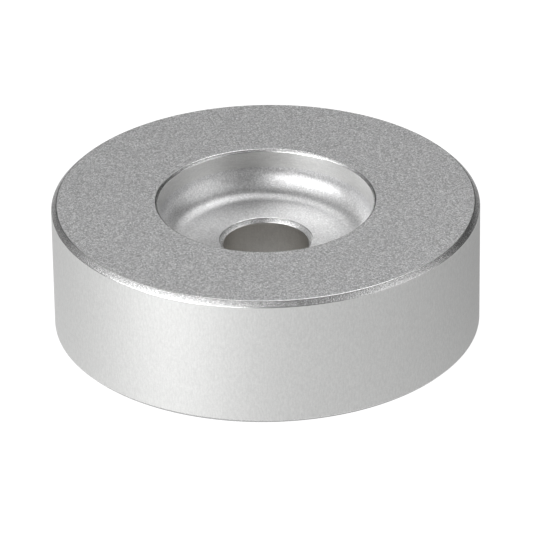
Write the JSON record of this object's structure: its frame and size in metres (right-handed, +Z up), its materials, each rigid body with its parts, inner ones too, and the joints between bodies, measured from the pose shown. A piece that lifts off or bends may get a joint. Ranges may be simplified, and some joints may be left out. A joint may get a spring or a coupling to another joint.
{
  "type": "record spindle adapter",
  "caption": "Turned aluminium puck with a finger recess and a central bore, which centres a large-hole record on a turntable's spindle.",
  "frame": {"origin": "on the bore's axis, in the flat underside that rests on the platter", "axes": "+Z up along the bore's axis, towards the finger recess; +X and +Y are level and equal, because the part is a body of revolution"},
  "size_m": [0.038, 0.038, 0.0119],
  "materials": {
    "blasted_aluminium": "fine bead-blasted, clear anodised, with bright-cut chamfers"
  },
  "bodies": {
    "root": {"adapter_body": "blasted_aluminium"}
  },
  "joints": []
}
